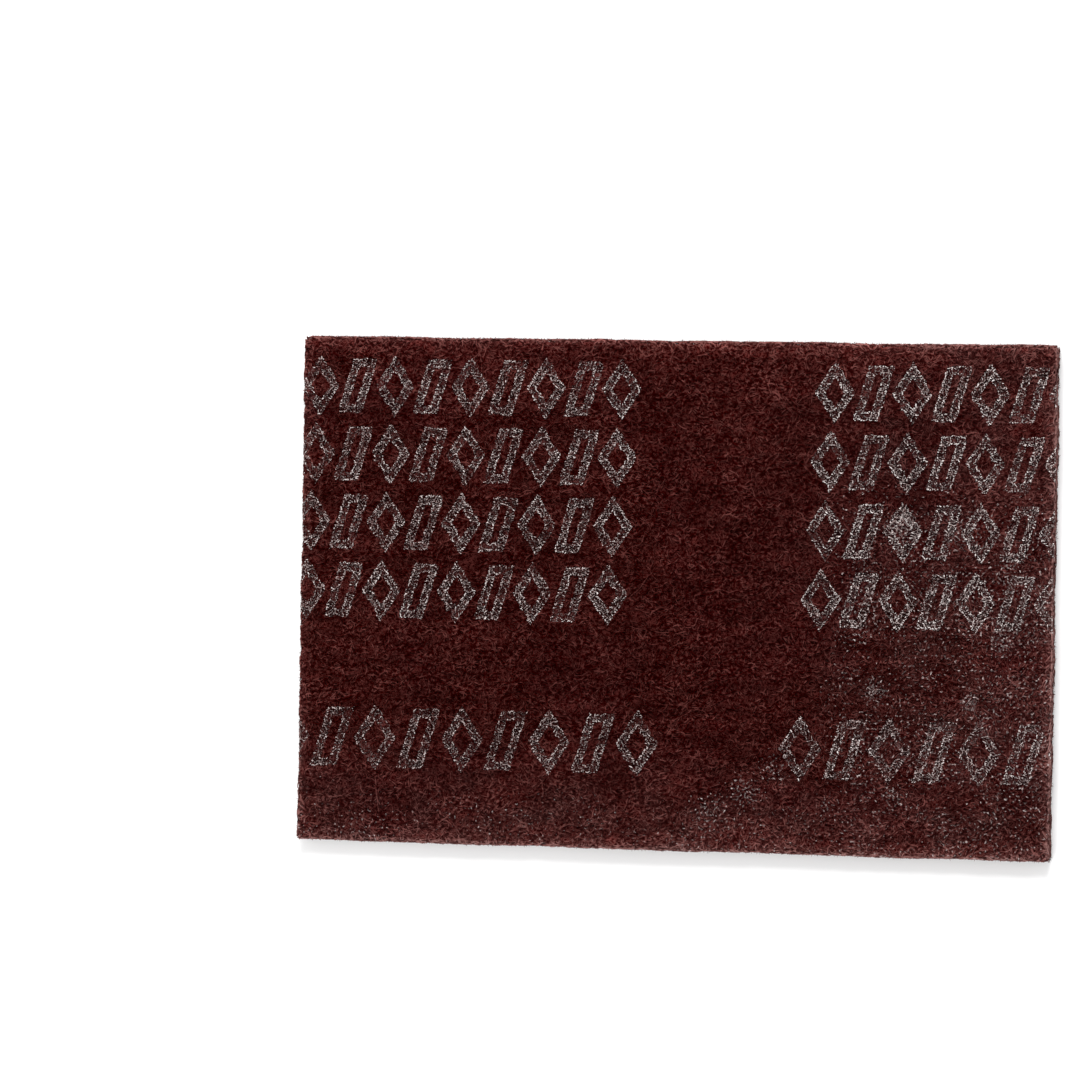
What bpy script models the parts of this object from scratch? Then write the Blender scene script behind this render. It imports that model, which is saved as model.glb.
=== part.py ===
"""Non-woven hand pad: one slab of bonded nylon web, cut to a rectangle and lying on its back face."""

import math

import bmesh
import bpy

# The cut slab, in metres: X along its length, Y across it, Z through its loft.
LENGTH = 0.2286
WIDTH = 0.1524
LOFT = 0.0075

# The knife line wanders inwards by up to this much, once in each stretch of this length.
CUT_WANDER = 0.0004
CUT_WANDER_PITCH = 0.043

# The cut rims are rubbed soft.
RIM_RADIUS = 0.0010
RIM_SEGMENTS = 2

# The front face has shallow furrows that follow the lay of the web. They drift by up to this many
# radians, once in each of these stretches along the pad and across it.
FURROW_DEPTH = 0.00022
FURROW_PITCH = 0.0101
FURROW_DRIFT = 1.1
FURROW_DRIFT_LENGTH = 0.097
FURROW_DRIFT_WIDTH = 0.041

# Broad thin places in the web.
THIN_PLACE_DEPTH = 0.00035
THIN_PLACE_LENGTH = 0.083
THIN_PLACE_WIDTH = 0.059

# Spacing of the front face's mesh, along the furrows and across them.
STEP_ALONG = 0.0082
STEP_ACROSS = 0.0021

# An edge turned more than this is a rim or a corner of the slab.
RIM_ANGLE = math.radians(60)

WEB_COLOUR = (0.052, 0.0105, 0.0090, 1.0)
WEB_ROUGHNESS = 0.85


def knife_wander(along, start):
    """How far inside the straight edge the cut runs, at a place along it. Each edge has its own start."""
    turn = math.tau * along / CUT_WANDER_PITCH + start
    return 0.5 * CUT_WANDER * (1 + math.sin(turn) * math.cos(turn / 3))


def front_drop(x, y):
    """How far the front face lies under the full loft, at a place on the pad."""
    drift = FURROW_DRIFT * math.sin(math.tau * (x / FURROW_DRIFT_LENGTH + y / FURROW_DRIFT_WIDTH))
    furrow = 0.5 * FURROW_DEPTH * (1 - math.cos(math.tau * y / FURROW_PITCH + drift))
    swell = math.cos(math.tau * x / THIN_PLACE_LENGTH) * math.cos(math.tau * y / THIN_PLACE_WIDTH)
    thin_place = 0.5 * THIN_PLACE_DEPTH * (1 - swell)
    return furrow + thin_place


def cut_sheet(slab):
    """A flat rectangle of web with the knife's slightly wandering outline."""
    bmesh.ops.create_grid(
        slab,
        x_segments=round(LENGTH / STEP_ALONG),
        y_segments=round(WIDTH / STEP_ACROSS),
        size=0.5,
    )
    bmesh.ops.scale(slab, vec=(LENGTH, WIDTH, 1), verts=slab.verts)
    for vert in slab.verts:
        x, y, _ = vert.co
        vert.co.x -= x / (LENGTH / 2) * knife_wander(y, start=math.copysign(1, x))
        vert.co.y -= y / (WIDTH / 2) * knife_wander(x, start=math.copysign(2, y))


def give_loft(slab):
    """Raises the sheet to its thickness and leaves one flat face underneath."""
    raised = bmesh.ops.extrude_face_region(slab, geom=slab.faces[:])
    verts = [piece for piece in raised["geom"] if isinstance(piece, bmesh.types.BMVert)]
    bmesh.ops.translate(slab, vec=(0, 0, LOFT), verts=verts)
    back = [face for face in slab.faces if max(vert.co.z for vert in face.verts) == 0]
    bmesh.ops.dissolve_faces(slab, faces=back, use_verts=True)
    bmesh.ops.recalc_face_normals(slab, faces=slab.faces[:])


def soften_rims(slab):
    """Rounds the rims of both faces and the four upright corners."""
    rims = [edge for edge in slab.edges if edge.calc_face_angle(0) > RIM_ANGLE]
    bmesh.ops.bevel(
        slab,
        geom=rims,
        offset=RIM_RADIUS,
        segments=RIM_SEGMENTS,
        profile=0.5,
        affect="EDGES",
        material=-1,
        clamp_overlap=True,
    )


def press_furrows(slab):
    """Thins the slab from its front, with its back left flat."""
    for vert in slab.verts:
        vert.co.z *= 1 - front_drop(vert.co.x, vert.co.y) / LOFT


def bonded_nylon():
    """Dull maroon nylon fibre, bonded with resin."""
    material = bpy.data.materials.new("maroon_bonded_nylon")
    material.use_nodes = True
    material.diffuse_color = WEB_COLOUR
    shader = material.node_tree.nodes["Principled BSDF"]
    shader.inputs["Base Color"].default_value = WEB_COLOUR
    shader.inputs["Roughness"].default_value = WEB_ROUGHNESS
    shader.inputs["Metallic"].default_value = 0.0
    return material


def hand_pad(collection):
    """The pad itself: one piece of web."""
    slab = bmesh.new()
    cut_sheet(slab)
    give_loft(slab)
    soften_rims(slab)
    press_furrows(slab)
    for face in slab.faces:
        face.smooth = len(face.verts) == 4
    mesh = bpy.data.meshes.new("hand_pad")
    slab.to_mesh(mesh)
    slab.free()
    mesh.materials.append(bonded_nylon())
    collection.objects.link(bpy.data.objects.new("hand_pad", mesh))


def main():
    for leftover in list(bpy.data.objects):
        bpy.data.objects.remove(leftover, do_unlink=True)
    collection = bpy.data.collections.new("non_woven_hand_pad")
    bpy.context.scene.collection.children.link(collection)
    hand_pad(collection)


main()
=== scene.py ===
"""Looks of the non-woven hand pad: a dark web core, its pits painted darker as shade, under a tangle of
separate nylon fibres, with a worn silver print of hollow diamonds and slanted bars. Its rims, border and left
end have painted light and shade. It lies on its back and the camera looks down on it.
"""

import math

import bmesh
import bpy
import numpy as np
from mathutils import Matrix, Vector, noise
from mathutils.bvhtree import BVHTree


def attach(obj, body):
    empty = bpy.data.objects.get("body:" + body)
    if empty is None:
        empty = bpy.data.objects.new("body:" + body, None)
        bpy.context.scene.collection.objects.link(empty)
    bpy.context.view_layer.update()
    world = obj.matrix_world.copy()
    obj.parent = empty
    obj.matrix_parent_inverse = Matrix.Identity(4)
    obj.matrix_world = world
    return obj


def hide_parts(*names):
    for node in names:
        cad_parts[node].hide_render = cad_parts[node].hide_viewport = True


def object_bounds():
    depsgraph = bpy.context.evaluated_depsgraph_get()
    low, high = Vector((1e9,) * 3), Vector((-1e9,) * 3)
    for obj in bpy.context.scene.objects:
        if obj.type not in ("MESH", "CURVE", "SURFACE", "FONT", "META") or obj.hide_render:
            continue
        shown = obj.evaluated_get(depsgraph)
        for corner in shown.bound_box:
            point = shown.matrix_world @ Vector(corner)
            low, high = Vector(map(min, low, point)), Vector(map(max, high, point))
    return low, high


MM = 0.001
SEED = 7

# How finely the solid's front height and outline are read.
SURVEY_STEP = 1.5 * MM

# The core: the cells of its mesh, how far it lies under the fibres and over the floor, and its lumps. Their
# noise is given as its roughness, its step in size and its number of octaves.
CORE_CELL = 1.6 * MM
CORE_SIDE_CUTS = 4
CORE_SINK = 0.75 * MM
CORE_FLOOR_GAP = CORE_SINK / 4
CORE_LUMP_HEIGHT = 0.30 * MM
CORE_LUMP_SIZE = 1.9 * MM
CORE_LUMP_NOISE = (0.8, 2.0, 3)

# The fibres: three-sided tubes, whose radius varies by this share. They are crimped in waves, in which they
# swing by so many radians, and they bend slowly, by about so many radians a metre. Their headings spread
# about the pad's length, in radians.
FIBRE_RADIUS = 0.22 * MM
RADIUS_SPREAD = 0.25
CRIMP_WAVE = (3.5 * MM, 8.0 * MM)
CRIMP_SWING = (0.4, 1.2)
SLOW_BEND = 90.0
LAY_SPREAD = 0.85

# The fibres pass over and under one another in waves. They crowd a little towards the bottom of their
# layer, and their tips dip by this share of it.
WEAVE_HEIGHT = 0.22 * MM
WEAVE_WAVE = (3.0 * MM, 8.0 * MM)
CROWDING = 0.8
TIP_DIP = 0.35
TIP_SHARPNESS = 5

# Short fibres of the front face.
FRONT_PIECES = 4
FRONT_FIBRES = 4250
FRONT_POINTS = 9
FRONT_STRIDE = 1.05 * MM
FRONT_LAYER = 0.52 * MM

# Long fibres that lie loose over them, and the share of their own depth that their colour takes, which
# darkens them as painted shade.
LONG_FIBRES = 420
LONG_POINTS = 16
LONG_STRIDE = 1.3 * MM
LONG_LAYER = 0.22 * MM
LONG_SWING = (0.1, 0.55)
LONG_LAY_SPREAD = 1.5
LONG_RADIUS = 0.14 * MM
LONG_DEPTH = 0.3

# Fibres of the back face.
BACK_FIBRES = 1000
BACK_POINTS = 8
BACK_STRIDE = 1.7 * MM
BACK_LAYER = 0.5 * MM

# Fibres of the four cut edges: they spill out of the cut, climb less steeply than they swing, and keep clear
# of the corners and the floor.
EDGE_FIBRES_PER_METRE = 4200
EDGE_POINTS = 7
EDGE_STRIDE = 1.0 * MM
EDGE_LAYER = 0.45 * MM
EDGE_SPILL = 0.25 * MM
EDGE_LAY_SPREAD = 0.50
EDGE_CLIMB = 0.6
EDGE_CORNER_GAP = 0.7 * MM
EDGE_FLOOR_GAP = 0.4 * MM

# Short cut ends that stand out of the edges. Their turn and bend are in radians and radians a metre, and
# their lift is a slope. Their roots lie this far inside the cut. The gaps to the floor and to the loft hold
# for their roots, and then for all of them. Their shading takes them to lie this deep in a layer.
FUZZ_PER_METRE = 5200
FUZZ_POINTS = 4
FUZZ_STRIDE = 0.40 * MM
FUZZ_RADIUS = 0.07 * MM
FUZZ_TURN = 1.25
FUZZ_BEND = 900.0
FUZZ_LIFT = 0.4
FUZZ_ROOT = (0.4 * MM, 1.1 * MM)
FUZZ_ROOT_GAPS = (0.3 * MM, 0.5 * MM)
FUZZ_GAPS = (0.15 * MM, 0.3 * MM)
FUZZ_DEPTH = 0.3

# How the fibres' shades are spread: the two powers of a beta draw, or the ends of an even one.
FACE_SHADES = (5.0, 5.0)
EDGE_SHADES = (1.9, 1.9)
FUZZ_SHADES = (2.4, 1.6)
LONG_SHADES = (0.55, 1.0)

# Tube ends closer than this are one point, and each tube keeps this share of its cell of the map free.
MERGE_DISTANCE = 0.0001 * MM
MAP_MARGIN = 0.06

# The rim of the front face is rubbed round, and the edge fibres reach this many radians round it.
RIM_RADIUS = 1.1 * MM
RIM_TURN = 0.8

# Print, from the pad's middle: four rows of motifs, then a row of larger ones. Each row is in two groups,
# with a bare stretch between them.
TOP_ROW = 61.3 * MM
ROW_PITCH = 20.5 * MM
LAST_SMALL_ROW = 3
ROW_STAGGER = 1.1 * MM
MOTIF_PITCH = 11.6 * MM
MOTIF_HALF_HEIGHT = 6.9 * MM
MOTIF_HALF_WIDTH = 4.5 * MM
LEFT_GROUP_END = -10.5 * MM
RIGHT_GROUP_START = 42.4 * MM
LARGE_ROW = -44.6 * MM
LARGE_PITCH = 13.4 * MM
LARGE_HALF_HEIGHT = 7.6 * MM
LARGE_HALF_WIDTH = 4.9 * MM
LARGE_LEFT_GROUP_END = -3.8 * MM
LARGE_RIGHT_GROUP_START = 33.3 * MM
BAR_SHARE = 0.55
BAR_SLANT = 0.30
STROKE_HALF = 1.25 * MM

# From here on, a ramp is the two values that it runs between, then its results at them if these aren't
# 0 and 1. A line is a slope and its result at 0.

# Wear of the print: its ragged outline, its rim and thinner middle, the ink that is kept in worn places,
# along the pad and down it, and the grains that it is broken into.
RAGGED_SIZE = 2.0 * MM
RAGGED_REACH = 1.6 * MM
STROKE_RIM = (1.12 * STROKE_HALF, 0.92 * STROKE_HALF)
STROKE_MIDDLE = (0.35 * STROKE_HALF, 0.70 * STROKE_HALF, 0.30, 1.0)
WORN_SIZE = 8 * MM
WORN = (0.28, 0.62, 0.55, 1.0)
WORN_ALONG = (-60 * MM, 60 * MM, 0.88, 1.16)
WORN_DOWN = (-30 * MM, -36 * MM, 1.0, 0.82)
INK_GRAIN_SIZE = 0.46 * MM
INK_GRAIN = (0.45, 0.60)

# Loose specks of silver: where they get denser along the pad and down it, and how dense at the right and
# the bottom. They lie in clusters. The denser they are, the lower the noise needs to be for a speck.
SPECKS_ALONG = (37 * MM, 58 * MM)
SPECKS_DOWN = (58 * MM, 5 * MM)
SPECKS_RIGHT = 0.50
SPECKS_BOTTOM = (-48 * MM, -74 * MM, 0.0, 0.38)
CLUSTER_SIZE = 11 * MM
CLUSTERS = (0.30, 0.60, 0.35, 1.0)
SPECK_SIZE = 0.82 * MM
SPECK_LEVEL = (-0.38, 0.82)
SPECK_RIM = (-0.07, 0.12)
SPECK_SHADE_SIZE = 1.1 * MM
SPECK_SHADE = (0.40, 0.74, 0.12, 0.66)
SPECK_START = (0.0, 0.25)

# Smears of loose silver: where each lies, its radius in millimetres and how dense it is. A smear is full
# within this share of its radius, and its outline is this many times as ragged as the print's.
SMEARS = (
    (69, 22, 9, 1.0),
    (86, 20, 10, 0.7),
    (101, 8, 9, 0.7),
    (99, -12, 8, 0.8),
    (62, -27, 7, 0.9),
    (78, -24, 6, 0.6),
    (90, -30, 5, 1.1),
    (13, -65, 11, 0.60),
    (23, -58, 9, 0.65),
    (32, -51, 8, 0.60),
    (48, -62, 6, 0.5),
    (68, -58, 6, 0.8),
    (84, -66, 6, 0.4),
)
SMEAR_HEART = 0.2
SMEAR_RAGGED = 3.0

# The print sinks this far into the web, and takes on fibres that face up.
TOP_LAYER = (2.4 * MM, 1.5 * MM)
FACING_UP = (0.0, 0.55)

# Changes of tone in the web. Their noise runs between two values. Then come the size of each and how much
# longer it is along the pad, and its least and its greatest factor.
PATCH_NOISE = (0.25, 0.75)
STREAKS = (4 * MM, 5, 0.74, 1.26)
BLOTCHES = (14 * MM, 1, 0.88, 1.12)
CLUMPS = (2.2 * MM, 1.8, 0.85, 1.15)

# Tone from the cut inwards, painted light and shade: a wide border painted paler round a darker middle,
# painted shade on the left end, and painted highlights in bands on the ends and the long sides, which fade
# towards the back face.
BORDER_LIGHT_AND_SHADE = (34 * MM, 4 * MM, 0.90, 1.10)
LEFT_END_SHADE = (0.0, 25 * MM, 0.88, 1.0)
END_HIGHLIGHT_BANDS = ((2.0 * MM, 0.0, 0.0, 0.52), (4.4 * MM, 0.5 * MM, 0.0, 0.48))
SIDE_HIGHLIGHT_BANDS = ((2.2 * MM, 0.0, 0.0, 0.85), (7.0 * MM, 0.5 * MM, 0.0, 0.60))
RIM_FADE = (6.5 * MM, 1.2 * MM)

# Grey dust over the right and the bottom in patches. The same grey is painted light on the right end's cut
# side, and painted highlights on the rims, most on those at the right and the bottom.
RIGHT_DUST = (10 * MM, 110 * MM, 0.0, 0.095)
BOTTOM_DUST = (-40 * MM, -76 * MM, 0.0, 0.12)
DUST_PATCH_SIZE = 9 * MM
DUST_PATCHES = (0.30, 0.70, 0.2, 1.35)
RIGHT_END_LIGHT = (0.9 * MM, 0.2 * MM, 0.0, 0.24)
RIM_HIGHLIGHT = ((4.4 * MM, 0.5 * MM, 0.0, 0.20), (2.0 * MM, 0.0, 0.0, 0.40))
RIM_HIGHLIGHT_SPREAD = (-0.40, 0.20, 0.30, 1.0)
SIDE_RIM_HIGHLIGHT = (1.8 * MM, 0.0, 0.0, 0.16)

# The grain of the fibres. Close under the front face their heights are pressed together by a share, so that
# fibres that cross have the same grain.
MATTED_LAYER = 2.0 * MM
MATTED_PRESS = 0.72
FIBRE_GRAIN_SIZE = 0.80 * MM
FIBRE_GRAIN_STRETCH = (1.3, 1, 1)
FIBRE_GRAIN = (0.30, 0.70)

# A fibre's colour: its grain and its own shade make it pale. Deep in its layer it is painted less pale and
# darker, and it is darker where its grain is lowest, as painted shade under other fibres and in pits.
# The dust and the painted light at the rims lie on the grain, and the ink darkens the fibres round it.
GRAIN_WEIGHT = 1.2
PALE_SHARE = (0.35, 2.4)
PALE_BY_DEPTH = (1.0, 0.0, 0.45, 1.0)
PALE_BY_GRAIN = (0.35, 0.82)
DEEP_SHADE_SHARE = (0.1, 0.9, 0.0, 0.35)
BRIGHT_BY_TONE = (0.6, 0.4)
GRAIN_PIT_SHADE = (0.0, 0.25, 0.60, 1.0)
DUST_AND_LIGHT_BY_GRAIN = (1.2, 0.35)
DUST_AND_LIGHT_BY_DEPTH = (0.9, 0.1, 0.5, 1.0)
STAINED = (-0.52, 1.0)

# Ink on the fibres: how deep it reaches, the grey film round it, and its roughness and metal.
INK_BY_DEPTH = (0.95, 0.40)
INK_FILM = (0.0, 0.5, 0.0, 0.7)
INK_ROUGHNESS = (0.0, 1.0, 0.55, 0.38)
INK_METAL = 0.30

# Matted lines in the core: two nets of cells, each with its size and strength, closer across the pad than
# along it and bent by noise.
NETS = ((1.5 * MM, 1.0), (0.95 * MM, 0.8))
NET_SQUEEZE = 1.25
NET_NOISE_SCALE = 1.3
NET_BEND = 1.1
NET_LINE = (0.13, 0.03)

# The core's colour, by its lines.
STRAND_PALENESS = 0.40
CORE_DUST_AND_LIGHT = (0.45, 0.05)
CORE_STROKE = (0.10, 0.05)
CORE_SPECKS = 0.35
CORE_ROUGHNESS = 0.85
CORE_BUMP_HEIGHT = 0.15 * MM
CORE_BUMP_STRENGTH = 0.8

# Colours, linear.
# Dark and pale fibre colours: fibres vary between them, and the top ones are painted paler and the deep ones
# darker, as light and shade.
DARK_FIBRE = (0.0245, 0.0002, 0.0001, 1)
PALE_FIBRE = (0.099, 0.0290, 0.0252, 1)
# Painted shade: the dark red of fibres deep in the tangle.
DEEP_FIBRE_SHADE = (0.016, 0.0, 0.0, 1)
# Painted shade: the near black of the pits between the core's matted lines.
PIT_SHADE = (0.012, 0.0, 0.0, 1)
# A pinkish grey: dust, painted light and highlights at the rims, and the film round the ink.
PINKISH_GREY = (0.24, 0.122, 0.112, 1)
SILVER = (0.64, 0.595, 0.58, 1)
WHITE = (1, 1, 1, 1)

# How much white light the resin on the fibres sends back.
GLOSS = 0.002

# Camera: where it stands and the point of the front face that its axis meets, in metres, which way is up,
# then its lens and its sensor's width in millimetres, and how far it sees in metres.
CAMERA_PLACE = (0.33615, 0.04235, 1.7717)
CAMERA_AIM = (-0.04035, 0.01585, 0.0075)
CAMERA_UP = (-0.0197, 0.9997, -0.0108)
LENS = 200.8
SENSOR = 36
CLIP_END = 50

# The light from all round, whose dome is plain white to the eye. The floor turns white between these
# distances from the pad.
SKY_LIGHT = 0.75
FLOOR_HALF = 6
FLOOR_WHITE = (0.95, 0.95, 0.95, 1)
FLOOR_NEAR = 0.35
FLOOR_FAR = 0.90

# Lamps: the name of each, its place, its size in metres and its power in watts.
LAMPS = (
    ("key_light", (0.10, 0.75, 0.80), 0.5, 11.0),
    ("fill_light", (-0.5, -0.5, 0.9), 0.8, 5.0),
)

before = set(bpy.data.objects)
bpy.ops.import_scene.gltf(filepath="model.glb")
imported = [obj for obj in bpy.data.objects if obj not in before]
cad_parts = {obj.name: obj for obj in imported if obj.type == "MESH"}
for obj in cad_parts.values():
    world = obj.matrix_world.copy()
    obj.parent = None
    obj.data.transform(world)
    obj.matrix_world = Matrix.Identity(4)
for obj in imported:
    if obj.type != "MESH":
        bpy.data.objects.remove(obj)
CAD_LOW, CAD_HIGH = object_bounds()
LENGTH, WIDTH, LOFT = CAD_HIGH - CAD_LOW


class Survey:
    """The solid's front height and cut outline, sampled so that the web can follow them."""

    def __init__(self, solid):
        tree = BVHTree.FromObject(solid, bpy.context.evaluated_depsgraph_get())
        inset = 2 * RIM_RADIUS
        above, middle, outside = 2 * LOFT, LOFT / 2, LENGTH
        self.x = np.linspace(CAD_LOW.x, CAD_HIGH.x, round(LENGTH / SURVEY_STEP))
        self.y = np.linspace(CAD_LOW.y, CAD_HIGH.y, round(WIDTH / SURVEY_STEP))
        inner_x = np.clip(self.x, CAD_LOW.x + inset, CAD_HIGH.x - inset)
        inner_y = np.clip(self.y, CAD_LOW.y + inset, CAD_HIGH.y - inset)

        def met(start, way):
            return tree.ray_cast(Vector(start), Vector(way))[0]

        self.height = np.array([[met((x, y, above), (0, 0, -1)).z for y in inner_y] for x in inner_x])
        self.ends = [[met((s * outside, y, middle), (-s, 0, 0)).x for y in inner_y] for s in (-1, 1)]
        self.sides = [[met((x, s * outside, middle), (0, -s, 0)).y for x in inner_x] for s in (-1, 1)]

    def front(self, x, y):
        """The front face's height at these places."""
        i = np.interp(x, self.x, np.arange(len(self.x)))
        j = np.interp(y, self.y, np.arange(len(self.y)))
        i0 = np.minimum(i.astype(int), len(self.x) - 2)
        j0 = np.minimum(j.astype(int), len(self.y) - 2)
        a, b = i - i0, j - j0
        low = self.height[i0, j0] * (1 - a) + self.height[i0 + 1, j0] * a
        high = self.height[i0, j0 + 1] * (1 - a) + self.height[i0 + 1, j0 + 1] * a
        return low * (1 - b) + high * b

    def fitted(self, x, y):
        """Places of a straight-sided rectangle, squeezed to the outline that the knife left."""
        left, right = (np.interp(y, self.y, end) for end in self.ends)
        near, far = (np.interp(x, self.x, side) for side in self.sides)
        new_x = left + (right - left) * (x - CAD_LOW.x) / LENGTH
        new_y = near + (far - near) * (y - CAD_LOW.y) / WIDTH
        return new_x, new_y

    def by_edge(self, side, along, inside, height):
        """Paths by one of the four cut edges: how far along it, inside the cut and high they are."""
        long_side = side % 2 == 0
        sign = 1 if side < 2 else -1
        out = sign * ((WIDTH if long_side else LENGTH) / 2 - inside)
        x, y = self.fitted(along, out) if long_side else self.fitted(out, along)
        return np.stack([x, y, height * self.front(x, y) / LOFT], 2)


def rim_drop(x, y):
    """How far the rounded rim lies under the front face: nothing in the middle, its radius at the cut."""
    from_end = np.minimum(x - CAD_LOW.x, CAD_HIGH.x - x)
    from_side = np.minimum(y - CAD_LOW.y, CAD_HIGH.y - y)
    into_rim = RIM_RADIUS - np.clip(np.minimum(from_end, from_side), 0, RIM_RADIUS)
    return RIM_RADIUS - np.sqrt(RIM_RADIUS**2 - into_rim**2)


def up_the_edge(climb, depth):
    """Up a cut edge and round its rim: how far inside the cut a fibre is, and how high."""
    turn = np.maximum(climb - (LOFT - RIM_RADIUS), 0) / RIM_RADIUS
    on_edge = np.minimum(climb, LOFT - RIM_RADIUS)
    inside = RIM_RADIUS - (RIM_RADIUS - depth) * np.cos(turn)
    height = on_edge + (RIM_RADIUS - depth) * np.sin(turn)
    return inside, height


def feed(tree, socket, value):
    """Feeds a socket with another node's output, or with a plain value."""
    if isinstance(value, bpy.types.NodeSocket):
        tree.links.new(value, socket)
    else:
        socket.default_value = value


def node(tree, kind, inputs=(), **settings):
    """A new node, with its settings made and its inputs fed."""
    made = tree.nodes.new("ShaderNode" + kind)
    for name, value in settings.items():
        setattr(made, name, value)
    for key, value in dict(inputs).items():
        feed(tree, made.inputs[key], value)
    return made


def calc(tree, operation, *values):
    """One step of arithmetic on numbers or outputs."""
    return node(tree, "Math", enumerate(values), operation=operation).outputs[0]


def ramp(tree, value, low, high, to_low=0.0, to_high=1.0):
    """A smooth step from to_low, where the value is low, to to_high, where it is high."""
    ends = {"Value": value, "From Min": low, "From Max": high, "To Min": to_low, "To Max": to_high}
    return node(tree, "MapRange", ends, interpolation_type="SMOOTHSTEP").outputs["Result"]


def bands(tree, inward, ramps):
    """Several ramps over the distance from a rim inwards, added up."""
    total = 0.0
    for ends in ramps:
        total = calc(tree, "ADD", total, ramp(tree, inward, *ends))
    return total


def mixed(tree, share, first, second):
    """Two colours mixed: the share of the second is from 0 to 1."""
    return node(tree, "Mix", {0: share, 6: first, 7: second}, data_type="RGBA").outputs[2]


def blended(tree, share, first, second):
    """Two numbers mixed in the same way."""
    return node(tree, "Mix", {0: share, 2: first, 3: second}, data_type="FLOAT").outputs[0]


def shaded(tree, colour, amount):
    """A colour made darker or lighter by a factor."""
    return node(tree, "VectorMath", {0: colour, "Scale": amount}, operation="SCALE").outputs[0]


def grain(tree, place, size, stretch=(1, 1, 1), shift=(0, 0, 0), detail=2.0):
    """A noise value near 0.5 with features of about this size, stretched along the axes."""
    scales = [1 / (size * s) for s in stretch]
    scaled = node(tree, "VectorMath", {0: place, 1: scales, 2: shift}, operation="MULTIPLY_ADD").outputs[0]
    return node(tree, "TexNoise", {"Vector": scaled, "Scale": 1.0, "Detail": detail}).outputs["Fac"]


def under_loft(tree, place):
    """How far a place lies under the pad's full loft."""
    height = node(tree, "SeparateXYZ", {0: place}).outputs["Z"]
    return calc(tree, "SUBTRACT", LOFT, height)


def shader_group(name, inputs, outputs):
    """An empty node group with named inputs and outputs, and its two end nodes."""
    group = bpy.data.node_groups.new(name, "ShaderNodeTree")
    for socket, kind in inputs.items():
        group.interface.new_socket(socket, in_out="INPUT", socket_type="NodeSocket" + kind)
    for socket, kind in outputs.items():
        group.interface.new_socket(socket, in_out="OUTPUT", socket_type="NodeSocket" + kind)
    return group, group.nodes.new("NodeGroupInput").outputs, group.nodes.new("NodeGroupOutput").inputs


def motif_group():
    """How far a place is from the outlines in a row of motifs: diamonds and slanted bars in turn."""
    sizes = ("Along", "Across", "Pitch", "Half Width", "Half Height", "Left End", "Right Start")
    group, start, end = shader_group("hollow_motifs", dict.fromkeys(sizes, "Float"), {"Distance": "Float"})
    along, across, pitch, half_width, half_height, left_end, right_start = (start[name] for name in sizes)

    middle = calc(group, "MULTIPLY", calc(group, "ADD", left_end, right_start), 0.5)
    in_left = calc(group, "LESS_THAN", along, middle)
    from_left_end = calc(group, "SUBTRACT", left_end, along)
    from_right_start = calc(group, "SUBTRACT", along, right_start)
    into_group = blended(group, in_left, from_right_start, from_left_end)
    first = calc(group, "ADD", half_width, STROKE_HALF)
    column = calc(group, "ROUND", calc(group, "DIVIDE", calc(group, "SUBTRACT", into_group, first), pitch))
    column = calc(group, "MAXIMUM", column, 0.0)
    u = calc(group, "SUBTRACT", into_group, calc(group, "MULTIPLY_ADD", column, pitch, first))
    u = calc(group, "MULTIPLY", u, calc(group, "MULTIPLY_ADD", in_left, -2.0, 1.0))

    height = calc(group, "ABSOLUTE", across)
    width_share = calc(group, "DIVIDE", calc(group, "ABSOLUTE", u), half_width)
    height_share = calc(group, "DIVIDE", height, half_height)
    over = calc(group, "SUBTRACT", calc(group, "ADD", width_share, height_share), 1.0)
    steepness = MOTIF_HALF_HEIGHT / math.hypot(MOTIF_HALF_HEIGHT, MOTIF_HALF_WIDTH)
    diamond = calc(group, "MULTIPLY", over, calc(group, "MULTIPLY", half_width, steepness))
    leant = calc(group, "SUBTRACT", u, calc(group, "MULTIPLY", across, BAR_SLANT))
    half_bar = calc(group, "MULTIPLY", half_width, BAR_SHARE)
    beside = calc(group, "SUBTRACT", calc(group, "ABSOLUTE", leant), half_bar)
    bar = calc(group, "MAXIMUM", beside, calc(group, "SUBTRACT", height, half_height))
    shape = blended(group, calc(group, "PINGPONG", column, 1.0), diamond, bar)
    feed(group, end["Distance"], calc(group, "ABSOLUTE", shape))
    return group


def stroke_distance(group, motifs, x, y, ragged):
    """How far a place is from the nearest outline of the print, which is moved by its raggedness."""
    ragged_x = calc(group, "ADD", x, ragged)
    row = calc(group, "DIVIDE", calc(group, "SUBTRACT", TOP_ROW, y), ROW_PITCH)
    index = calc(group, "MAXIMUM", calc(group, "ROUND", row), 0.0)
    index = calc(group, "MINIMUM", index, float(LAST_SMALL_ROW))
    small = {
        "Along": calc(group, "MULTIPLY_ADD", index, ROW_STAGGER, ragged_x),
        "Across": calc(group, "MULTIPLY_ADD", calc(group, "SUBTRACT", index, row), ROW_PITCH, ragged),
        "Pitch": MOTIF_PITCH,
        "Half Width": MOTIF_HALF_WIDTH,
        "Half Height": MOTIF_HALF_HEIGHT,
        "Left End": LEFT_GROUP_END,
        "Right Start": RIGHT_GROUP_START,
    }
    large = {
        "Along": ragged_x,
        "Across": calc(group, "ADD", calc(group, "SUBTRACT", y, LARGE_ROW), ragged),
        "Pitch": LARGE_PITCH,
        "Half Width": LARGE_HALF_WIDTH,
        "Half Height": LARGE_HALF_HEIGHT,
        "Left End": LARGE_LEFT_GROUP_END,
        "Right Start": LARGE_RIGHT_GROUP_START,
    }
    near_small = node(group, "Group", small, node_tree=motifs).outputs["Distance"]
    near_large = node(group, "Group", large, node_tree=motifs).outputs["Distance"]
    return calc(group, "MINIMUM", near_small, near_large)


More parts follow.
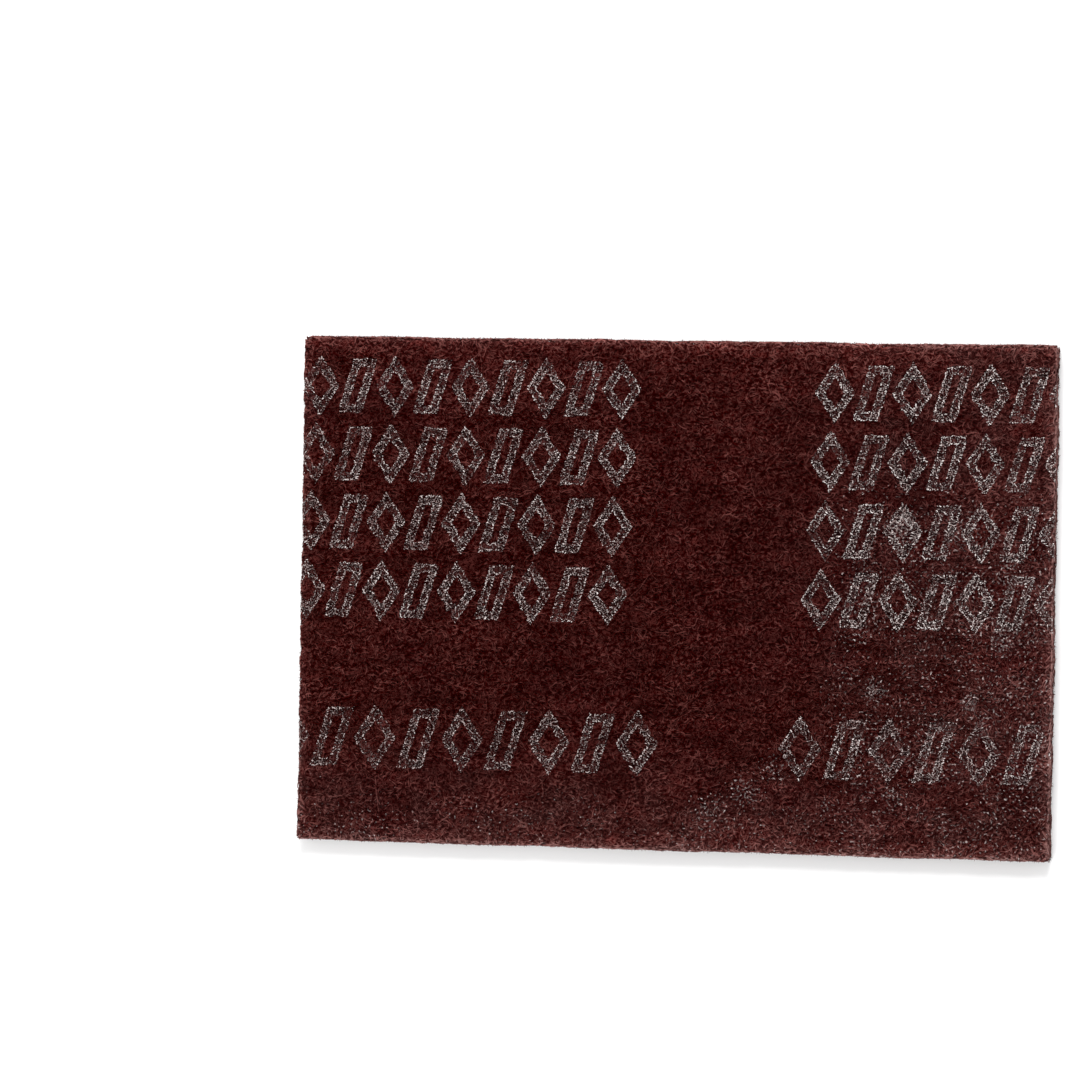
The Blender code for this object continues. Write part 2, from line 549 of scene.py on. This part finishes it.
def speck_density(group, place, x, y, ragged):
    """How densely loose silver lies: in clusters at the right and the bottom, and in the smears."""
    right = calc(group, "MULTIPLY", ramp(group, x, *SPECKS_ALONG), ramp(group, y, *SPECKS_DOWN))
    right = calc(group, "MULTIPLY", right, SPECKS_RIGHT)
    density = calc(group, "MAXIMUM", right, ramp(group, y, *SPECKS_BOTTOM))
    clustered = ramp(group, grain(group, place, CLUSTER_SIZE, shift=(3, 7, 1)), *CLUSTERS)
    density = calc(group, "MULTIPLY", density, clustered)
    for smear_x, smear_y, radius, strength in SMEARS:
        spot = (smear_x * MM, smear_y * MM, LOFT)
        away = node(group, "VectorMath", {0: place, 1: spot}, operation="DISTANCE").outputs["Value"]
        away = calc(group, "MULTIPLY_ADD", ragged, SMEAR_RAGGED, away)
        smear = ramp(group, away, radius * MM, radius * MM * SMEAR_HEART, 0.0, strength)
        density = calc(group, "MAXIMUM", density, smear)
    return density


def print_group(motifs):
    """Where silver ink lies on the front face: the worn print, its dark stain, and loose specks of it."""
    outputs = dict.fromkeys(("Stroke", "Stain", "Specks"), "Float")
    group, start, end = shader_group("silver_print", {"Place": "Vector"}, outputs)
    place = start["Place"]
    x, y, _ = node(group, "SeparateXYZ", {0: place}).outputs
    level_place = node(group, "VectorMath", {0: place, 1: (1, 1, 0)}, operation="MULTIPLY").outputs[0]
    ragged = calc(group, "SUBTRACT", grain(group, place, RAGGED_SIZE), 0.5)
    ragged = calc(group, "MULTIPLY", ragged, RAGGED_REACH)

    distance = stroke_distance(group, motifs, x, y, ragged)
    worn = ramp(group, grain(group, place, WORN_SIZE), *WORN)
    worn = calc(group, "MULTIPLY", worn, ramp(group, x, *WORN_ALONG))
    worn = calc(group, "MULTIPLY", worn, ramp(group, y, *WORN_DOWN))
    stain = calc(group, "MULTIPLY", ramp(group, distance, *STROKE_RIM), worn)
    feed(group, end["Stain"], stain)
    broken = ramp(group, grain(group, level_place, INK_GRAIN_SIZE, detail=0.0), *INK_GRAIN)
    stroke = calc(group, "MULTIPLY", stain, ramp(group, distance, *STROKE_MIDDLE))
    feed(group, end["Stroke"], calc(group, "MULTIPLY", stroke, broken))

    density = speck_density(group, place, x, y, ragged)
    level = calc(group, "MULTIPLY_ADD", density, *SPECK_LEVEL)
    speck = calc(group, "SUBTRACT", grain(group, level_place, SPECK_SIZE, shift=(5, 2, 8), detail=0.0), level)
    brightness = ramp(group, grain(group, level_place, SPECK_SHADE_SIZE, shift=(2, 9, 4)), *SPECK_SHADE)
    brightness = calc(group, "MULTIPLY", brightness, ramp(group, density, *SPECK_START))
    feed(group, end["Specks"], calc(group, "MULTIPLY", ramp(group, speck, *SPECK_RIM), brightness))
    return group


def tone_group():
    """Large changes of tone over the web: streaks along it, blotches and grey dust, and painted light and
    shade: a paler border round a darker middle, a shaded left end and painted highlights on the rims.
    """
    group, start, end = shader_group("web_tone_and_painted_light", {"Place": "Vector"}, {"Tone And Painted Light": "Float", "Dust And Painted Light": "Float"})
    place = start["Place"]
    x, y, _ = node(group, "SeparateXYZ", {0: place}).outputs
    near_front = ramp(group, under_loft(group, place), *RIM_FADE)
    from_end = calc(group, "SUBTRACT", LENGTH / 2, calc(group, "ABSOLUTE", x))
    from_side = calc(group, "SUBTRACT", WIDTH / 2, calc(group, "ABSOLUTE", y))
    inward = calc(group, "MINIMUM", from_end, from_side)

    # Painted light and shade: the border is paler than the middle.
    tone = ramp(group, inward, *BORDER_LIGHT_AND_SHADE)
    for size, along, low, high in (STREAKS, BLOTCHES, CLUMPS):
        patches = ramp(group, grain(group, place, size, stretch=(along, 1, 1)), *PATCH_NOISE, low, high)
        tone = calc(group, "MULTIPLY", tone, patches)
    # Painted highlights in bands along the rims, fading towards the back face.
    painted_rim_light = calc(group, "MAXIMUM", bands(group, from_end, END_HIGHLIGHT_BANDS), bands(group, from_side, SIDE_HIGHLIGHT_BANDS))
    tone = calc(group, "MULTIPLY", tone, calc(group, "MULTIPLY_ADD", painted_rim_light, near_front, 1.0))
    # Painted shade on the left end.
    from_left = calc(group, "ADD", LENGTH / 2, x)
    feed(group, end["Tone And Painted Light"], calc(group, "MULTIPLY", tone, ramp(group, from_left, *LEFT_END_SHADE)))

    dust_and_painted_light = calc(group, "MAXIMUM", ramp(group, x, *RIGHT_DUST), ramp(group, y, *BOTTOM_DUST))
    patches = ramp(group, grain(group, place, DUST_PATCH_SIZE, shift=(1, 4, 9)), *DUST_PATCHES)
    dust_and_painted_light = calc(group, "MULTIPLY", dust_and_painted_light, patches)
    # Painted light on the right end's cut side, in the dust's grey.
    from_right = calc(group, "SUBTRACT", LENGTH / 2, x)
    dust_and_painted_light = calc(group, "ADD", dust_and_painted_light, ramp(group, from_right, *RIGHT_END_LIGHT))
    # Painted highlights on the rims, most at the right and the bottom, fading towards the back face.
    slope = calc(group, "SUBTRACT", calc(group, "DIVIDE", x, LENGTH), calc(group, "DIVIDE", y, WIDTH))
    painted_rim_highlight = calc(group, "MULTIPLY", bands(group, inward, RIM_HIGHLIGHT), ramp(group, slope, *RIM_HIGHLIGHT_SPREAD))
    painted_rim_highlight = calc(group, "ADD", painted_rim_highlight, ramp(group, from_side, *SIDE_RIM_HIGHLIGHT))
    feed(group, end["Dust And Painted Light"], calc(group, "MULTIPLY_ADD", painted_rim_highlight, near_front, dust_and_painted_light))
    return group


def tangle_group():
    """A net of pale lines round pits, which the core paints dark as shade: matted fibre seen from above."""
    group, start, end = shader_group("matted_lines", {"Place": "Vector"}, {"Lines": "Float"})
    lines = 0.0
    for size, strength in NETS:
        scale = [1 / size, NET_SQUEEZE / size, 1 / size]
        scaled = node(group, "VectorMath", {0: start["Place"], 1: scale}, operation="MULTIPLY").outputs[0]
        bent = node(group, "TexNoise", {"Vector": scaled, "Scale": NET_NOISE_SCALE, "Detail": 1.0})
        moves = {0: bent.outputs["Color"], 1: [NET_BEND] * 3, 2: scaled}
        moved = node(group, "VectorMath", moves, operation="MULTIPLY_ADD").outputs[0]
        cells = node(group, "TexVoronoi", {"Vector": moved, "Scale": 1.0}, feature="DISTANCE_TO_EDGE")
        line = ramp(group, cells.outputs["Distance"], *NET_LINE, 0.0, strength)
        lines = calc(group, "MAXIMUM", lines, line)
    feed(group, end["Lines"], lines)
    return group


def new_material(name):
    """A material with its own shader, and the piece's place in space as Object coordinates."""
    material = bpy.data.materials.new(name)
    material.use_nodes = True
    tree = material.node_tree
    shader = tree.nodes["Principled BSDF"]
    place = node(tree, "TexCoord").outputs["Object"]
    return material, tree, shader, place


def top_layer(tree, place):
    """1 near the top of the web, which the print sinks into, and 0 below it."""
    return ramp(tree, under_loft(tree, place), *TOP_LAYER)


def printed_side(tree, place):
    """1 in the top layer where a surface faces up, as the printed side does, and 0 elsewhere."""
    normal = node(tree, "NewGeometry").outputs["Normal"]
    up = node(tree, "SeparateXYZ", {0: normal}).outputs["Z"]
    return calc(tree, "MULTIPLY", ramp(tree, up, *FACING_UP), top_layer(tree, place))


def matted_place(tree, place):
    """The place with the heights near the front pressed together, so that crossing fibres share a grain."""
    x, y, z = node(tree, "SeparateXYZ", {0: place}).outputs
    into_front = calc(tree, "MAXIMUM", calc(tree, "SUBTRACT", z, LOFT - MATTED_LAYER), 0.0)
    pressed = calc(tree, "MULTIPLY_ADD", into_front, -MATTED_PRESS, z)
    return node(tree, "CombineXYZ", {0: x, 1: y, 2: pressed}).outputs[0]


def fibre_material(tone_shader, print_shader):
    """Maroon nylon under a thin coat of resin, each fibre of its own shade, with ink on the top ones. The top
    fibres are painted paler as light, and deep ones and pits darker as shade.
    """
    material, tree, shader, place = new_material("coated_fibre")
    tone = node(tree, "Group", node_tree=tone_shader)
    ink = node(tree, "Group", node_tree=print_shader)
    feed(tree, tone.inputs["Place"], place)
    feed(tree, ink.inputs["Place"], place)
    shade = node(tree, "Attribute", attribute_name="fibre_shade").outputs["Fac"]
    depth = node(tree, "Attribute", attribute_name="fibre_depth").outputs["Fac"]
    shared = matted_place(tree, place)
    grains = grain(tree, shared, FIBRE_GRAIN_SIZE, FIBRE_GRAIN_STRETCH, shift=(6, 1, 2), detail=0.5)
    grains = ramp(tree, grains, *FIBRE_GRAIN)
    pale = ramp(tree, calc(tree, "MULTIPLY_ADD", grains, GRAIN_WEIGHT, shade), *PALE_SHARE)
    # Painted light and shade: the top fibres of a layer are paler, the deep ones less pale.
    pale = calc(tree, "MULTIPLY", pale, ramp(tree, depth, *PALE_BY_DEPTH))
    pale = calc(tree, "MULTIPLY", pale, calc(tree, "MULTIPLY_ADD", grains, *PALE_BY_GRAIN))
    pale = calc(tree, "MULTIPLY", pale, tone.outputs["Tone And Painted Light"])
    fibre = mixed(tree, pale, DARK_FIBRE, PALE_FIBRE)
    # Painted shade: fibres deep in their layer turn dark red.
    fibre = mixed(tree, ramp(tree, depth, *DEEP_SHADE_SHARE), fibre, DEEP_FIBRE_SHADE)
    fibre = shaded(tree, fibre, calc(tree, "MULTIPLY_ADD", tone.outputs["Tone And Painted Light"], *BRIGHT_BY_TONE))
    # Painted shade in pits, where the grain is lowest.
    fibre = shaded(tree, fibre, ramp(tree, grains, *GRAIN_PIT_SHADE))
    # Dust, and the painted light and highlights at the rims, in the pinkish grey, less of it deep down.
    dust_and_painted_light = calc(tree, "MULTIPLY", tone.outputs["Dust And Painted Light"], calc(tree, "MULTIPLY_ADD", grains, *DUST_AND_LIGHT_BY_GRAIN))
    dust_and_painted_light = calc(tree, "MULTIPLY", dust_and_painted_light, ramp(tree, depth, *DUST_AND_LIGHT_BY_DEPTH))
    fibre = mixed(tree, dust_and_painted_light, fibre, PINKISH_GREY)
    stain = calc(tree, "MULTIPLY", ink.outputs["Stain"], top_layer(tree, place))
    fibre = shaded(tree, fibre, calc(tree, "MULTIPLY_ADD", stain, *STAINED))
    covered = calc(tree, "MAXIMUM", ink.outputs["Stroke"], ink.outputs["Specks"])
    reach = calc(tree, "MULTIPLY", printed_side(tree, place), ramp(tree, depth, *INK_BY_DEPTH))
    silver = calc(tree, "MULTIPLY", covered, reach)
    filmed = mixed(tree, ramp(tree, silver, *INK_FILM), fibre, PINKISH_GREY)
    feed(tree, shader.inputs["Base Color"], mixed(tree, silver, filmed, SILVER))
    feed(tree, shader.inputs["Roughness"], ramp(tree, silver, *INK_ROUGHNESS))
    feed(tree, shader.inputs["Metallic"], calc(tree, "MULTIPLY", silver, INK_METAL))
    shader.inputs["Specular IOR Level"].default_value = GLOSS
    return material


def core_material(tone_shader, print_shader, tangle_shader):
    """The web's inside as seen between the fibres: matted lines round pits painted dark as shade."""
    material, tree, shader, place = new_material("web_core")
    tone = node(tree, "Group", node_tree=tone_shader)
    ink = node(tree, "Group", node_tree=print_shader)
    tangle = node(tree, "Group", node_tree=tangle_shader)
    for made in (tone, ink, tangle):
        feed(tree, made.inputs["Place"], place)
    lines = tangle.outputs["Lines"]
    strand = mixed(tree, STRAND_PALENESS, DARK_FIBRE, PALE_FIBRE)
    # The pits between the matted lines are painted near black, as shade.
    web = shaded(tree, mixed(tree, lines, PIT_SHADE, strand), tone.outputs["Tone And Painted Light"])
    # Dust, and the painted light and highlights at the rims, in the pinkish grey.
    dust_and_painted_light = calc(tree, "MULTIPLY", tone.outputs["Dust And Painted Light"], calc(tree, "MULTIPLY_ADD", lines, *CORE_DUST_AND_LIGHT))
    web = mixed(tree, dust_and_painted_light, web, PINKISH_GREY)
    stroke = calc(tree, "MULTIPLY", ink.outputs["Stroke"], calc(tree, "MULTIPLY_ADD", lines, *CORE_STROKE))
    specks = calc(tree, "MULTIPLY", ink.outputs["Specks"], CORE_SPECKS)
    sunk_ink = calc(tree, "MULTIPLY", calc(tree, "MAXIMUM", stroke, specks), printed_side(tree, place))
    feed(tree, shader.inputs["Base Color"], mixed(tree, sunk_ink, web, SILVER))
    shader.inputs["Roughness"].default_value = CORE_ROUGHNESS
    shader.inputs["Specular IOR Level"].default_value = GLOSS
    sizes = {"Height": lines, "Strength": CORE_BUMP_STRENGTH, "Distance": CORE_BUMP_HEIGHT}
    feed(tree, shader.inputs["Normal"], node(tree, "Bump", sizes).outputs["Normal"])
    return material


def finished_mesh(name, form):
    """A mesh object made of a bmesh, in the scene and at the frame's origin."""
    mesh = bpy.data.meshes.new(name)
    form.to_mesh(mesh)
    form.free()
    obj = bpy.data.objects.new(name, mesh)
    bpy.context.scene.collection.objects.link(obj)
    return obj


def web_core(survey):
    """The closed slab of matted web that the separate fibres lie on."""
    slab = bmesh.new()
    length, width = LENGTH - 2 * CORE_SINK, WIDTH - 2 * CORE_SINK
    columns, rows = round(length / CORE_CELL), round(width / CORE_CELL)
    bmesh.ops.create_grid(slab, x_segments=columns, y_segments=rows, size=0.5)
    bmesh.ops.scale(slab, vec=(length, width, 1), verts=slab.verts)
    raised = bmesh.ops.extrude_face_region(slab, geom=slab.faces[:])
    top = [piece for piece in raised["geom"] if isinstance(piece, bmesh.types.BMVert)]
    bmesh.ops.translate(slab, vec=(0, 0, LOFT), verts=top)
    upright = [edge for edge in slab.edges if abs(edge.verts[0].co.z - edge.verts[1].co.z) > LOFT / 2]
    bmesh.ops.subdivide_edges(slab, edges=upright, cuts=CORE_SIDE_CUTS, use_grid_fill=True)
    bmesh.ops.recalc_face_normals(slab, faces=slab.faces[:])

    places = np.array([vert.co for vert in slab.verts])
    share = places[:, 2] / LOFT
    x, y = survey.fitted(places[:, 0], places[:, 1])
    front = survey.front(x, y) - rim_drop(x, y)
    z = CORE_SINK + share * (front - 2 * CORE_SINK)
    slab.normal_update()
    for vert, *place in zip(slab.verts, x, y, z):
        vert.co = place
        lump = noise.fractal(vert.co / CORE_LUMP_SIZE, *CORE_LUMP_NOISE)
        vert.co += vert.normal * CORE_LUMP_HEIGHT * lump
        vert.co.z = max(vert.co.z, CORE_FLOOR_GAP)
    for face in slab.faces:
        face.smooth = True
    return finished_mesh("web_core", slab)


def crimped_lines(rng, count, points, stride, spread, swing=CRIMP_SWING):
    """Curly lines on a plane, from the origin, most of them running along X or back."""
    heading = rng.normal(0, spread, (count, 1)) + math.pi * rng.integers(0, 2, (count, 1))
    wave = rng.uniform(*CRIMP_WAVE, (count, 1))
    swing = rng.uniform(*swing, (count, 1))
    phase = rng.uniform(0, math.tau, (count, 1))
    bend = rng.normal(0, SLOW_BEND, (count, 1))
    run = stride * np.arange(points - 1)
    angle = heading + swing * np.sin(math.tau * run / wave + phase) + bend * run
    start = np.zeros((count, 1))
    along = np.hstack([start, np.cumsum(stride * np.cos(angle), 1)])
    across = np.hstack([start, np.cumsum(stride * np.sin(angle), 1)])
    middle = points // 2
    return along - along[:, [middle]], across - across[:, [middle]]


def weave(rng, count, points, stride, layer):
    """How deep each point of a fibre lies in its layer, as it passes over and under the others."""
    base = rng.uniform(0, 1, (count, 1)) ** CROWDING * layer
    wave = rng.uniform(*WEAVE_WAVE, (count, 1))
    phase = rng.uniform(0, math.tau, (count, 1))
    run = stride * np.arange(points)
    depth = base + WEAVE_HEIGHT * np.sin(math.tau * run / wave + phase)
    tips = np.abs(np.linspace(-1, 1, points)) ** TIP_SHARPNESS
    return np.maximum(depth + TIP_DIP * layer * tips, 0)


def cut_at(values, low, high):
    """Lines folded back where they would leave the web."""
    span = high - low
    folded = np.mod(values - low, 2 * span)
    return low + np.where(folded > span, 2 * span - folded, folded)


def strewn(rng, survey, dx, dy, inset):
    """Lines strewn over the web, this far inside its cut edges."""
    x = rng.uniform(CAD_LOW.x, CAD_HIGH.x, (len(dx), 1)) + dx
    y = rng.uniform(CAD_LOW.y, CAD_HIGH.y, (len(dy), 1)) + dy
    x = cut_at(x, CAD_LOW.x + inset, CAD_HIGH.x - inset)
    y = cut_at(y, CAD_LOW.y + inset, CAD_HIGH.y - inset)
    return survey.fitted(x, y)


def fibre_radii(rng, count, radius=FIBRE_RADIUS):
    """A radius for each fibre, near the given one."""
    return radius * rng.uniform(1 - RADIUS_SPREAD, 1 + RADIUS_SPREAD, count)


def triangle_profile():
    """The section of a fibre: a small triangle, one unit of radius in size."""
    data = bpy.data.curves.new("fibre_section", "CURVE")
    data.dimensions = "2D"
    spline = data.splines.new("POLY")
    spline.points.add(2)
    for corner, point in enumerate(spline.points):
        turn = math.tau * corner / 3
        point.co = (math.cos(turn), math.sin(turn), 0, 1)
    spline.use_cyclic_u = True
    section = bpy.data.objects.new("fibre_section", data)
    bpy.context.scene.collection.objects.link(section)
    return section


def tangle(name, section, paths, radii, shades, depths):
    """One mesh of many fibres: a tube along each path, closed where it tapers to nothing at both ends."""
    count, points, _ = paths.shape
    data = bpy.data.curves.new(name, "CURVE")
    data.dimensions = "3D"
    data.bevel_mode = "OBJECT"
    data.bevel_object = section
    homogeneous = np.concatenate([paths, np.ones((count, points, 1))], 2)
    radii = np.repeat(radii[:, None], points, 1)
    radii[:, [0, -1]] = 0
    for path, radius in zip(homogeneous, radii):
        spline = data.splines.new("POLY")
        spline.points.add(points - 1)
        spline.points.foreach_set("co", path.ravel())
        spline.points.foreach_set("radius", radius)
    line = bpy.data.objects.new(name + "_lines", data)
    bpy.context.scene.collection.objects.link(line)
    mesh = bpy.data.meshes.new_from_object(line.evaluated_get(bpy.context.evaluated_depsgraph_get()))
    bpy.data.objects.remove(line)
    mesh.name = name
    obj = bpy.data.objects.new(name, mesh)
    bpy.context.scene.collection.objects.link(obj)
    lay_out_map(mesh, count, points)
    for attribute, values in (("fibre_shade", np.repeat(shades, points)), ("fibre_depth", depths.ravel())):
        layer = mesh.attributes.new(attribute, "FLOAT", "POINT")
        layer.data.foreach_set("value", np.repeat(values, 3).astype(np.float32))
    form = bmesh.new()
    form.from_mesh(mesh)
    bmesh.ops.remove_doubles(form, verts=form.verts, dist=MERGE_DISTANCE)
    form.to_mesh(mesh)
    form.free()
    mesh.shade_smooth()
    return obj


def lay_out_map(mesh, count, points):
    """A map for baking, on which each fibre's tube is unrolled in a cell of its own."""
    mesh.uv_layers[0].name = "OFBake"
    corner_vertex = np.empty(len(mesh.loops), np.int32)
    mesh.loops.foreach_get("vertex_index", corner_vertex)
    side = corner_vertex % 3
    point = corner_vertex // 3 % points
    fibre = corner_vertex // (3 * points)
    around = side.reshape(-1, 4)
    wraps = (around == 0) & (around == 2).any(1, keepdims=True)
    unrolled = np.where(wraps, 3, around).ravel()
    columns = math.ceil(math.sqrt(count) / 2)
    rows = math.ceil(count / columns)
    filled = 1 - 2 * MAP_MARGIN
    u = (MAP_MARGIN + filled * point / (points - 1) + fibre % columns) / columns
    v = (MAP_MARGIN + filled * unrolled / 3 + fibre // columns) / rows
    mesh.uv_layers[0].uv.foreach_set("vector", np.stack([u, v], 1).astype(np.float32).ravel())


def face_fibres(name, rng, survey, section, count, points, stride, layer, front):
    """Fibres that lie matted on one face of the web."""
    dx, dy = crimped_lines(rng, count, points, stride, LAY_SPREAD)
    x, y = strewn(rng, survey, dx, dy, FIBRE_RADIUS - EDGE_SPILL)
    depth = weave(rng, count, points, stride, layer)
    sunk = depth + FIBRE_RADIUS * (1 + RADIUS_SPREAD) + rim_drop(x, y)
    z = survey.front(x, y) - sunk if front else sunk
    shades = rng.beta(*FACE_SHADES, count)
    return tangle(name, section, np.stack([x, y, z], 2), fibre_radii(rng, count), shades, depth / layer)


def long_fibres(name, rng, survey, section):
    """A few long and gently curved fibres that lie loose over the matted ones."""
    dx, dy = crimped_lines(rng, LONG_FIBRES, LONG_POINTS, LONG_STRIDE, LONG_LAY_SPREAD, LONG_SWING)
    x, y = strewn(rng, survey, dx, dy, 2 * RIM_RADIUS)
    depth = weave(rng, LONG_FIBRES, LONG_POINTS, LONG_STRIDE, LONG_LAYER)
    z = survey.front(x, y) - depth - LONG_RADIUS * (1 + RADIUS_SPREAD)
    shades = rng.uniform(*LONG_SHADES, LONG_FIBRES)
    radii = fibre_radii(rng, LONG_FIBRES, LONG_RADIUS)
    return tangle(name, section, np.stack([x, y, z], 2), radii, shades, LONG_DEPTH * depth / LONG_LAYER)


def edge_fibres(name, rng, survey, section):
    """Fibres that run along the four cut edges and part of the way round their front rims."""
    paths, depths = [], []
    highest = LOFT - RIM_RADIUS + RIM_RADIUS * RIM_TURN
    for side, length in enumerate((LENGTH, WIDTH) * 2):
        count = round(EDGE_FIBRES_PER_METRE * length)
        ds, dh = crimped_lines(rng, count, EDGE_POINTS, EDGE_STRIDE, EDGE_LAY_SPREAD)
        along = rng.uniform(0, length, (count, 1)) + ds
        along = cut_at(along, EDGE_CORNER_GAP, length - EDGE_CORNER_GAP) - length / 2
        climb = rng.uniform(EDGE_FLOOR_GAP, highest, (count, 1)) + dh * EDGE_CLIMB
        climb = cut_at(climb, EDGE_FLOOR_GAP, highest)
        depth = weave(rng, count, EDGE_POINTS, EDGE_STRIDE, EDGE_LAYER)
        inside, height = up_the_edge(climb, depth + FIBRE_RADIUS)
        paths.append(survey.by_edge(side, along, inside - EDGE_SPILL, height))
        depths.append(depth / EDGE_LAYER)
    paths, depths = np.concatenate(paths), np.concatenate(depths)
    shades = rng.beta(*EDGE_SHADES, len(paths))
    return tangle(name, section, paths, fibre_radii(rng, len(paths)), shades, depths)


def edge_fuzz(name, rng, survey, section):
    """Short cut ends that stand out of the four edges."""
    paths = []
    run = FUZZ_STRIDE * np.arange(FUZZ_POINTS)
    for side, length in enumerate((LENGTH, WIDTH) * 2):
        count = round(FUZZ_PER_METRE * length)
        turn = rng.uniform(-FUZZ_TURN, FUZZ_TURN, (count, 1))
        bend = rng.normal(0, FUZZ_BEND, (count, 1)) * run
        lift = rng.normal(0, FUZZ_LIFT, (count, 1))
        angle = (turn + bend)[:, :-1]
        start = np.zeros((count, 1))
        ds = np.hstack([start, np.cumsum(FUZZ_STRIDE * np.sin(angle), 1)])
        out = np.hstack([start, np.cumsum(FUZZ_STRIDE * np.cos(angle), 1)])
        along = np.clip(rng.uniform(-length / 2, length / 2, (count, 1)) + ds, -length / 2, length / 2)
        root = rng.uniform(FUZZ_ROOT_GAPS[0], LOFT - FUZZ_ROOT_GAPS[1], (count, 1))
        height = np.clip(root + lift * run, FUZZ_GAPS[0], LOFT - FUZZ_GAPS[1])
        inside = rng.uniform(*FUZZ_ROOT, (count, 1)) - out
        paths.append(survey.by_edge(side, along, inside, height))
    paths = np.concatenate(paths)
    count = len(paths)
    shades = rng.beta(*FUZZ_SHADES, count)
    radii = fibre_radii(rng, count, FUZZ_RADIUS)
    return tangle(name, section, paths, radii, shades, np.full((count, FUZZ_POINTS), FUZZ_DEPTH))


def seen_directly(tree):
    """1 for rays that show the background to the eye, also by way of a mirror or glass, and 0 for light."""
    rays = node(tree, "LightPath").outputs
    mirrored = calc(tree, "MAXIMUM", rays["Is Glossy Ray"], rays["Is Transmission Ray"])
    return calc(tree, "MAXIMUM", rays["Is Camera Ray"], mirrored)


def white_sweep():
    """A matt white floor that takes the shadow, and is plain white to the eye further away."""
    material, tree, shader, place = new_material("white_sweep")
    shader.inputs["Base Color"].default_value = FLOOR_WHITE
    shader.inputs["Roughness"].default_value = 1.0
    shader.inputs["Specular IOR Level"].default_value = 0.0
    shader.inputs["Emission Color"].default_value = WHITE
    from_middle = node(tree, "VectorMath", {0: place}, operation="LENGTH").outputs["Value"]
    distant = ramp(tree, from_middle, FLOOR_NEAR, FLOOR_FAR)
    feed(tree, shader.inputs["Emission Strength"], calc(tree, "MULTIPLY", distant, seen_directly(tree)))
    return material


def studio():
    """A pale floor, soft light from all round and a larger one from the pad's far side."""
    scene = bpy.context.scene
    scene.view_settings.view_transform = "Standard"
    world = bpy.data.worlds.new("soft_box")
    world.use_nodes = True
    background = world.node_tree.nodes["Background"]
    background.inputs["Color"].default_value = WHITE
    sky = calc(world.node_tree, "MULTIPLY_ADD", seen_directly(world.node_tree), 1 - SKY_LIGHT, SKY_LIGHT)
    feed(world.node_tree, background.inputs["Strength"], sky)
    scene.world = world

    form = bmesh.new()
    bmesh.ops.create_grid(form, x_segments=1, y_segments=1, size=FLOOR_HALF)
    floor = finished_mesh("floor", form)
    floor.data.materials.append(white_sweep())

    for name, place, size, power in LAMPS:
        light = bpy.data.lights.new(name, "AREA")
        light.shape = "SQUARE"
        light.size = size
        light.energy = power
        lamp = bpy.data.objects.new(name, light)
        lamp.location = place
        lamp.rotation_euler = (-Vector(place)).to_track_quat("-Z", "Y").to_euler()
        scene.collection.objects.link(lamp)


def camera():
    """The photograph's view: from over the pad's right half, through a long lens."""
    data = bpy.data.cameras.new("camera")
    data.lens = LENS
    data.sensor_width = SENSOR
    data.clip_end = CLIP_END
    obj = bpy.data.objects.new("camera", data)
    back = (Vector(CAMERA_PLACE) - Vector(CAMERA_AIM)).normalized()
    right = Vector(CAMERA_UP).cross(back).normalized()
    up = back.cross(right)
    obj.matrix_world = Matrix.Translation(CAMERA_PLACE) @ Matrix((right, up, back)).transposed().to_4x4()
    bpy.context.scene.collection.objects.link(obj)
    bpy.context.scene.camera = obj


def main():
    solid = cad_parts["hand_pad"]
    survey = Survey(solid)
    rng = np.random.default_rng(SEED)
    tone_shader = tone_group()
    print_shader = print_group(motif_group())
    coated_fibre = fibre_material(tone_shader, print_shader)
    matted_web = core_material(tone_shader, print_shader, tangle_group())
    section = triangle_profile()

    core = web_core(survey)
    core.data.materials.append(matted_web)
    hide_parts("hand_pad")
    pieces = [core]
    for turn in range(FRONT_PIECES):
        name = f"front_fibres_{turn + 1}"
        sizes = (FRONT_FIBRES, FRONT_POINTS, FRONT_STRIDE, FRONT_LAYER)
        pieces.append(face_fibres(name, rng, survey, section, *sizes, front=True))
    sizes = (BACK_FIBRES, BACK_POINTS, BACK_STRIDE, BACK_LAYER)
    pieces.append(face_fibres("back_fibres", rng, survey, section, *sizes, front=False))
    pieces.append(edge_fibres("edge_fibres", rng, survey, section))
    pieces.append(edge_fuzz("edge_fuzz", rng, survey, section))
    pieces.append(long_fibres("long_fibres", rng, survey, section))
    bpy.data.objects.remove(section)
    for piece in pieces[1:]:
        piece.data.materials.append(coated_fibre)
    for piece in pieces:
        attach(piece, "root")
        print(piece.name, sum(len(face.vertices) - 2 for face in piece.data.polygons), "triangles")
    studio()
    camera()


main()
